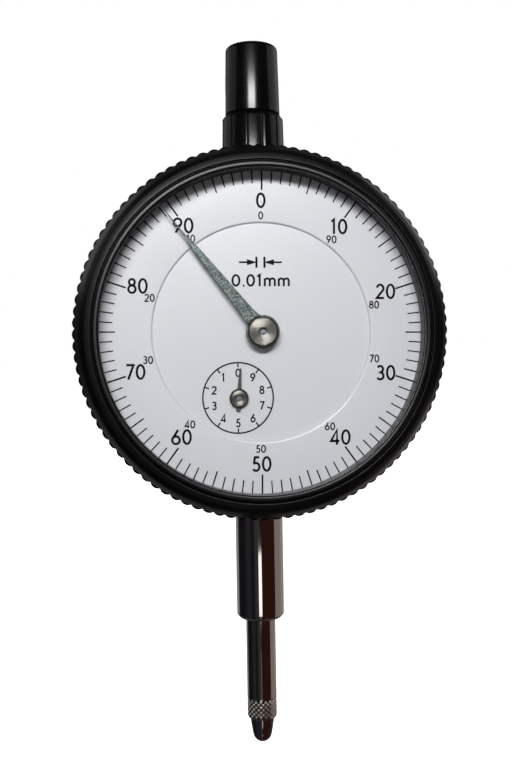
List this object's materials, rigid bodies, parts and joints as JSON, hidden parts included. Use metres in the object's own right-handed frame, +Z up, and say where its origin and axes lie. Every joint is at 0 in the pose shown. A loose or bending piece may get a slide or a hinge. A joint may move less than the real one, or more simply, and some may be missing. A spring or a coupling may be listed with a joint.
{
  "type": "dial_indicator",
  "caption": "Round dial indicator with a stem-clamped case, turning serrated bezel, revolution sub-dial, sprung rack spindle with knurled contact point and lift-off cap.",
  "frame": {"origin": "Middle of the clamping stem's free length, on the axis of the stem and spindle.", "axes": "+Z runs up along the spindle to the cap, -Y is the way the dial faces, +X is to the right as the dial is read."},
  "size_m": [0.059, 0.0248, 0.1182],
  "materials": {
    "black_paint": "satin",
    "black_plastic": "gloss",
    "gasket_rubber": "matte",
    "polished_steel": "polished",
    "ball_steel": "polished",
    "hub_steel": "turned",
    "screw_steel": "satin",
    "spring_steel": "satin",
    "hand_grey": "satin",
    "bush_brass": "satin",
    "plate_brass": "satin",
    "ruby": "gloss",
    "dial_white": "satin",
    "clear_crystal": "clear"
  },
  "bodies": {
    "body": {"case": "black_paint", "back_cover": "black_paint", "back_gasket": "gasket_rubber", "back_cover_screws": "screw_steel", "stem": "polished_steel", "stem_bushes": "bush_brass", "top_bush": "bush_brass", "cap_collar": "black_plastic", "case_seal": "gasket_rubber", "front_plate": "plate_brass", "middle_plate": "plate_brass", "rear_bridge": "plate_brass", "plate_pillars": "bush_brass", "bridge_pillars": "bush_brass", "plate_screws": "screw_steel", "bridge_screws": "screw_steel", "movement_screws": "screw_steel", "jewel_bushes": "ruby", "guide_rail": "screw_steel", "rail_screws": "screw_steel", "spring_post": "screw_steel", "measuring_spring": "spring_steel", "hairspring": "spring_steel", "hairspring_stud": "bush_brass", "inner_dial": "dial_white", "dial_feet": "bush_brass"},
    "spindle_unit": {"spindle": "polished_steel", "guide_pin": "screw_steel", "contact_point": "polished_steel", "contact_ball": "ball_steel"},
    "first_arbor_unit": {"first_arbor": "screw_steel", "first_gear": "bush_brass", "small_pointer": "hand_grey", "small_hub": "hub_steel"},
    "centre_arbor_unit": {"centre_arbor": "screw_steel", "main_pointer": "hand_grey", "pointer_hub": "hub_steel"},
    "take_up_unit": {"take_up_arbor": "screw_steel", "take_up_gear": "bush_brass", "hairspring_collet": "bush_brass"},
    "bezel_unit": {"bezel": "black_plastic", "snap_ring": "spring_steel", "crystal": "clear_crystal", "crystal_gasket": "gasket_rubber", "spacer_ring": "black_plastic", "dial_ring": "dial_white", "dial_ring_clip": "spring_steel"},
    "cap_unit": {"spindle_cap": "black_plastic"}
  },
  "joints": [
    {"name": "spindle_slide", "type": "slide", "parent": "body", "child": "spindle_unit", "axis": [0, 0, 1], "range_m": [0, 0.0104], "stiffness_N_per_m": 50, "springref_m": -0.018, "deforming": ["measuring_spring"]},
    {"name": "first_arbor_turn", "type": "hinge", "parent": "body", "child": "first_arbor_unit", "pos_m": [-0.0038, 0, 0.02753], "axis": [0, -1, 0], "range_deg": [-1, 376]},
    {"name": "centre_arbor_turn", "type": "hinge", "parent": "body", "child": "centre_arbor_unit", "pos_m": [0, 0, 0.03785], "axis": [0, -1, 0], "range_deg": [-3760, 10]},
    {"name": "take_up_turn", "type": "hinge", "parent": "body", "child": "take_up_unit", "pos_m": [0.0038, 0, 0.04817], "axis": [0, -1, 0], "range_deg": [-1, 376]},
    {"name": "bezel_turn", "type": "hinge", "parent": "body", "child": "bezel_unit", "pos_m": [0, 0, 0.03785], "axis": [0, -1, 0], "continuous": true},
    {"name": "cap_pull", "type": "slide", "parent": "body", "child": "cap_unit", "axis": [0, 0, 1], "range_m": [0, 0.014]}
  ],
  "couplings": [
    {"joint": "first_arbor_turn", "follows": "spindle_slide", "rad_per_m": 628.32},
    {"joint": "centre_arbor_turn", "follows": "spindle_slide", "rad_per_m": -6283.2},
    {"joint": "take_up_turn", "follows": "spindle_slide", "rad_per_m": 628.32}
  ]
}
